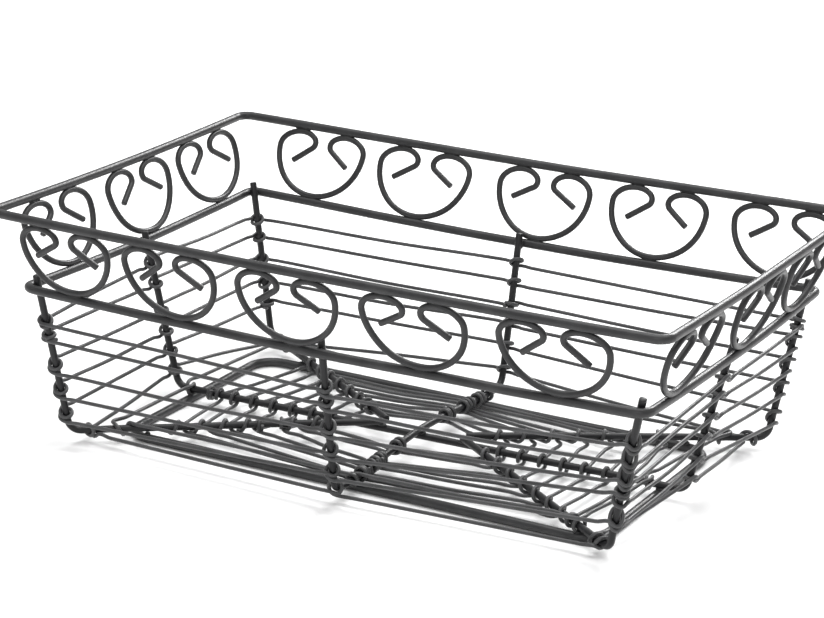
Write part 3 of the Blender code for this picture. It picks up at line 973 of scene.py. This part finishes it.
def floor_beads(rng):
    """Beads on the foot ring, under the diagonals' inner ends and where the long bars cross."""
    spread, width, height = FOOT_BEAD
    beads = []
    for key in ROUND_ORDER:
        place = ring_crossing(rib_foot(key), floor_end(key))
        place.z = FOOT_Z + FOOT_D / 2.0 + CROSS_GAP / 2.0
        lean = (floor_end(key) - rib_foot(key)).normalized()
        beads.append((place, lean.cross(Z_AXIS), lean, rng.uniform(*spread), width, height))
    for key in CORNER_KEYS:
        beads.append((floor_end(key) - Z_AXIS * (RIB_D / 2.0), X_AXIS, Y_AXIS, *DIAGONAL_BEAD))
    crossing = Vector((BAR_MIDDLE.x, BAR_MIDDLE.y, FLOOR_Z + RIB_D / 2.0))
    beads.append((crossing, X_AXIS, Y_AXIS, *CROSSING_BEAD))
    return beads


def build_welds(scroll_welds, rng):
    for side, welds in scroll_welds.items():
        weld_piece("welds_" + side, scroll_beads(welds, rng))
    weld_piece("welds_ribs", rib_top_beads(rng))
    weld_piece("welds_floor", floor_beads(rng))


# ------------------------------------------------------------------ stage, light and camera
def plain_material(name, colour, roughness):
    """Matt paper with a faint mottle."""
    mat = bpy.data.materials.new(name)
    mat.use_nodes = True
    tree = mat.node_tree
    shader = tree.nodes["Principled BSDF"]
    shader.inputs["Roughness"].default_value = roughness
    shader.inputs["Specular IOR Level"].default_value = FLOOR_SPECULAR
    grain = tree.nodes.new("ShaderNodeTexNoise")
    grain.inputs["Scale"].default_value = MOTTLE_SCALE
    ramp = tree.nodes.new("ShaderNodeValToRGB")
    ramp.color_ramp.elements[0].color = (*[c * MOTTLE_SHADE for c in colour], 1.0)
    ramp.color_ramp.elements[1].color = (*colour, 1.0)
    tree.links.new(grain.outputs["Fac"], ramp.inputs["Fac"])
    tree.links.new(ramp.outputs["Color"], shader.inputs["Base Color"])
    return mat


def build_stage():
    bm = bmesh.new()
    bmesh.ops.create_grid(bm, x_segments=8, y_segments=8, size=FLOOR_HALF)
    mesh = bpy.data.meshes.new("studio_floor")
    bm.to_mesh(mesh)
    bm.free()
    mesh.materials.append(plain_material("studio_white", FLOOR_COLOUR, FLOOR_ROUGHNESS))
    floor = bpy.data.objects.new("studio_floor", mesh)
    floor.location.z = -FLOOR_DROP
    bpy.context.scene.collection.objects.link(floor)


def area_light(name, place, aim, size, power):
    data = bpy.data.lights.new(name, "AREA")
    data.shape = "RECTANGLE"
    data.size, data.size_y = size
    data.energy = power
    light = bpy.data.objects.new(name, data)
    light.location = place
    light.rotation_euler = (Vector(aim) - Vector(place)).to_track_quat("-Z", "Y").to_euler()
    bpy.context.scene.collection.objects.link(light)


def build_lights():
    for name, (place, aim, size, power) in LIGHTS.items():
        area_light(name, place, aim, size, power)
    world = bpy.data.worlds.new("studio_air")
    world.use_nodes = True
    background = world.node_tree.nodes["Background"]
    background.inputs["Color"].default_value = grey(1.0)
    background.inputs["Strength"].default_value = AIR_STRENGTH
    bpy.context.scene.world = world
    bpy.context.scene.view_settings.view_transform = "Standard"


def build_camera():
    back = Vector((math.sin(CAMERA_AZIMUTH) * math.cos(CAMERA_ELEVATION),
                   -math.cos(CAMERA_AZIMUTH) * math.cos(CAMERA_ELEVATION),
                   math.sin(CAMERA_ELEVATION)))
    level_right = Z_AXIS.cross(back).normalized()
    level_up = back.cross(level_right)
    right = level_right * math.cos(CAMERA_ROLL) + level_up * math.sin(CAMERA_ROLL)
    up = level_up * math.cos(CAMERA_ROLL) - level_right * math.sin(CAMERA_ROLL)
    data = bpy.data.cameras.new("photo_camera")
    data.lens = CAMERA_LENS
    data.sensor_width = SENSOR_WIDTH
    data.sensor_fit = "HORIZONTAL"
    camera = bpy.data.objects.new("photo_camera", data)
    turn = Matrix((right, up, back)).transposed().to_4x4()
    camera.matrix_world = Matrix.Translation(CAMERA_PLACE) @ turn
    bpy.context.scene.collection.objects.link(camera)
    bpy.context.scene.camera = camera


# ------------------------------------------------------------------ build
def build():
    noise.seed_set(SEED)
    rng = random.Random(SEED)
    rim("foot_ring", FOOT_X, FOOT_Y, FOOT_Z, FOOT_CORNER_R, FOOT_D, 0.0, 0.0, FOOT_CENTRE_X, 1)
    rim("lower_rim", LOW_X, LOW_Y, LOW_Z, LOW_CORNER_R, RIM_D, LOW_BOW_LONG, LOW_BOW_SHORT, 0.0, 2)
    rim("top_rim", TOP_X, TOP_Y, TOP_Z, TOP_CORNER_R, RIM_D, TOP_BOW_LONG, TOP_BOW_SHORT, 0.0, 3)
    scroll_welds = {}
    for side, places in SCROLLS.items():
        scroll_welds[side] = []
        for i, (along, width, lean) in enumerate(places):
            scroll_welds[side] += scroll(side, i + 1, along, width, lean, rng)
    build_ribs()
    wall_rounds(rng)
    floor_rounds(rng)
    build_welds(scroll_welds, rng)
    build_stage()
    build_lights()
    build_camera()


build()
